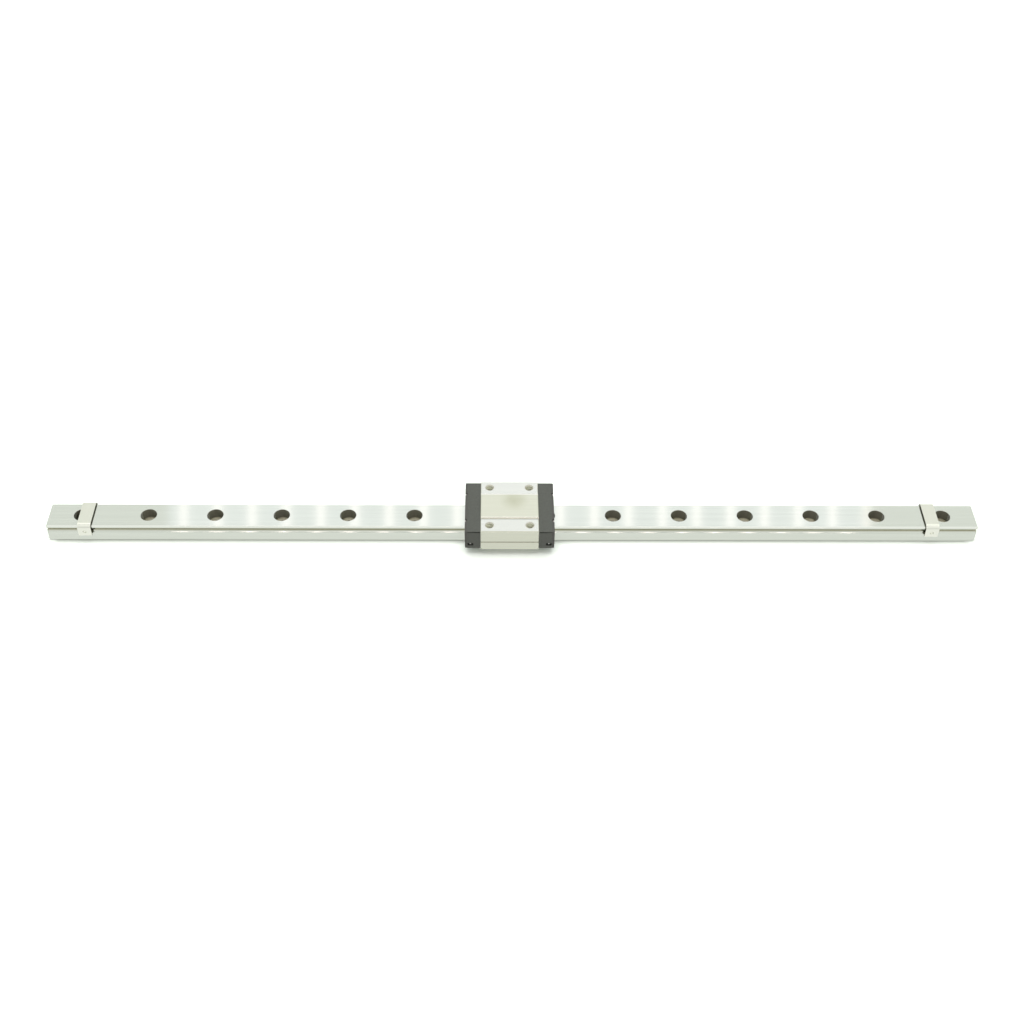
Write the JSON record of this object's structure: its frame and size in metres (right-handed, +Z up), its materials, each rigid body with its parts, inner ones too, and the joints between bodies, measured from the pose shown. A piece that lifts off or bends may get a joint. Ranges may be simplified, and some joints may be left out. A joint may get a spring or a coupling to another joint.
{
  "type": "linear guide rail",
  "caption": "Straight drilled steel rail with a recirculating ball carriage that slides along its side tracks between two bent sheet-steel stop clips.",
  "frame": {"origin": "centre of the rail's base on the floor, halfway along its length", "axes": "+X along the rail, +Y across it, +Z up from the rail's base"},
  "size_m": [0.35, 0.027, 0.013],
  "materials": {
    "ground_rail_steel": "hardened stainless steel, ground lengthwise",
    "clip_spring_steel": "plain bent sheet steel",
    "block_steel": "hardened steel, ground on the screw strips and duller on the land",
    "cap_plastic": "black moulded plastic",
    "seal_rubber": "matt black rubber",
    "screw_steel": "bright screw steel",
    "ball_steel": "polished bearing steel",
    "wire_steel": "drawn wire"
  },
  "bodies": {
    "rail": {"rail": "ground_rail_steel", "stop_clip_left": "clip_spring_steel", "stop_clip_right": "clip_spring_steel"},
    "carriage": {"carriage_block": "block_steel", "end_cap_left": "cap_plastic", "end_cap_right": "cap_plastic", "end_seal_left": "seal_rubber", "end_seal_right": "seal_rubber", "cap_screw_left_back": "screw_steel", "cap_screw_left_front": "screw_steel", "cap_screw_right_back": "screw_steel", "cap_screw_right_front": "screw_steel", "ball_row_back": "ball_steel", "ball_row_front": "ball_steel", "ball_retainer_back": "wire_steel", "ball_retainer_front": "wire_steel"}
  },
  "joints": [
    {"name": "carriage_slide", "type": "slide", "parent": "rail", "child": "carriage", "axis": [1, 0, 0], "range_m": [-0.1397, 0.14]}
  ]
}
